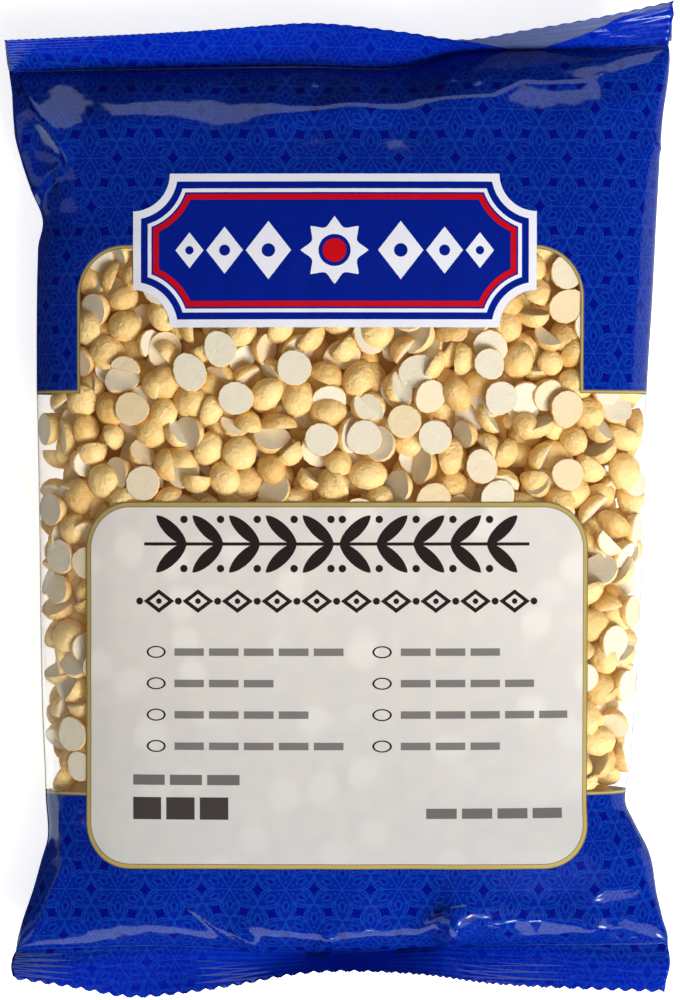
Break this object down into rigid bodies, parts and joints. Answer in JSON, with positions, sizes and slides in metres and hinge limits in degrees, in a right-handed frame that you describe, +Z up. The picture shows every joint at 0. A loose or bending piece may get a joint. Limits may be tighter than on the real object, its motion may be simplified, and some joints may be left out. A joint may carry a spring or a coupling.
{
  "type": "bag of roasted chana dal",
  "caption": "Clear printed pillow bag filled with roasted split chickpeas, lying on its back, with a crimped and serrated seal across each end.",
  "frame": {"origin": "on the surface the bag lies on, below the middle of its box", "axes": "+Z up out of the printed front, +Y along the bag towards its top seal, +X to the right as the front is seen"},
  "size_m": [0.1443, 0.2135, 0.0308],
  "materials": {
    "printed_film": "clear glossy film, 0.05 mm thick, printed blue at both ends, with a gold-edged window and a pale panel",
    "roasted_dal": "dry matt roasted chickpea halves, golden tan outside and cream white on the split face"
  },
  "bodies": {
    "root": {"filled_bag": "printed_film"}
  },
  "joints": []
}
